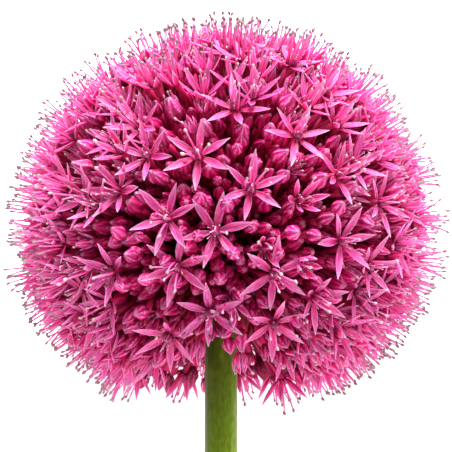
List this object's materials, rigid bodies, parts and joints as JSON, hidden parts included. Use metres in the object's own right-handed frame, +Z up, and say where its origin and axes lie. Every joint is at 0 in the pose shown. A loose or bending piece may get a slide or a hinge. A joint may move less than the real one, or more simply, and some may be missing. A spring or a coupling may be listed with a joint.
{
  "type": "allium flower head",
  "caption": "Ball-shaped allium umbel of star florets and buds on a short cut stem, lying on its side; a cut flower to lay down or place by hand.",
  "frame": {"origin": "on the surface that the flower lies on, under the middle of its whole length and width", "axes": "+Z up from the surface; the flower's axis leans up from the cut end of the stem at -Y to the top of the head at +Y; +X to the right when seen from the cut end"},
  "size_m": [0.16, 0.2228, 0.1522],
  "materials": {
    "scape": "smooth waxy green stalk skin with fine lengthwise ridges and a pale bloom",
    "tepals": "satin magenta-pink petal, darker along the midrib and at the foot, pale at the edge",
    "filaments": "smooth pink thread, darker at the foot",
    "anthers": "dull powdery grey, some greenish white",
    "ovaries": "moist dark purple-red skin",
    "pedicels": "smooth stalk, green at the foot and purple-brown under the floret",
    "buds": "satin deep pink bud, paler along its ribs and at the tip"
  },
  "bodies": {
    "root": {"scape": "scape", "umbel": "tepals"}
  },
  "joints": []
}
